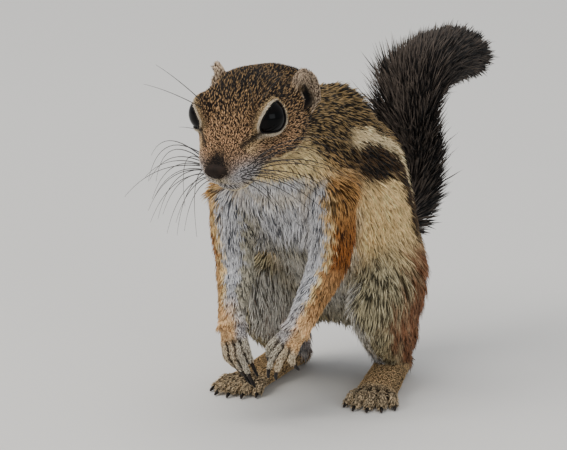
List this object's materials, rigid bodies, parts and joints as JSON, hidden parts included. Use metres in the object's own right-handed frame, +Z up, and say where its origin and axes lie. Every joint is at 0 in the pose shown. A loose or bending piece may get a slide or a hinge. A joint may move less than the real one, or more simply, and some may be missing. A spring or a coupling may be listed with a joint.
{
  "type": "antelope ground squirrel",
  "caption": "Life-size still model of an antelope ground squirrel sitting up on its hind feet, leaning forward with its forepaws hanging and its bushy tail raised behind it.",
  "frame": {"origin": "middle of the ground rectangle under the whole animal, at floor level", "axes": "+Z up, -Y the way the animal faces, +X to the animal's left"},
  "size_m": [0.0516, 0.1494, 0.0961],
  "materials": {
    "head_fur": "short dense fur, grizzled brown",
    "body_fur": "soft fur, grizzled brown above and whitish below",
    "arm_fur": "short fur, rust outside and whitish inside",
    "leg_fur": "soft fur, cream with a rust rear edge",
    "paw_fur": "very short flat fur, tan",
    "tail_fur": "long loose fur, black fringed with grey",
    "ear": "thin skin with sparse short hair",
    "eye": "wet gloss",
    "claw": "smooth dark horn"
  },
  "bodies": {
    "root": {"ear_left": "ear", "ear_right": "ear", "eye_left": "eye", "eye_right": "eye", "fore_claw_left_1": "claw", "fore_claw_left_2": "claw", "fore_claw_left_3": "claw", "fore_claw_left_4": "claw", "fore_claw_right_1": "claw", "fore_claw_right_2": "claw", "fore_claw_right_3": "claw", "fore_claw_right_4": "claw", "forearm_left": "arm_fur", "forearm_right": "arm_fur", "forepaw_left": "paw_fur", "forepaw_right": "paw_fur", "head": "head_fur", "hind_claw_left_1": "claw", "hind_claw_left_2": "claw", "hind_claw_left_3": "claw", "hind_claw_left_4": "claw", "hind_claw_left_5": "claw", "hind_claw_right_1": "claw", "hind_claw_right_2": "claw", "hind_claw_right_3": "claw", "hind_claw_right_4": "claw", "hind_claw_right_5": "claw", "hind_foot_left": "paw_fur", "hind_foot_right": "paw_fur", "neck": "head_fur", "shank_left": "leg_fur", "shank_right": "leg_fur", "tail_base": "tail_fur", "tail_middle": "tail_fur", "tail_tip": "tail_fur", "thigh_left": "leg_fur", "thigh_right": "leg_fur", "trunk": "body_fur", "upper_arm_left": "arm_fur", "upper_arm_right": "arm_fur"}
  },
  "joints": []
}
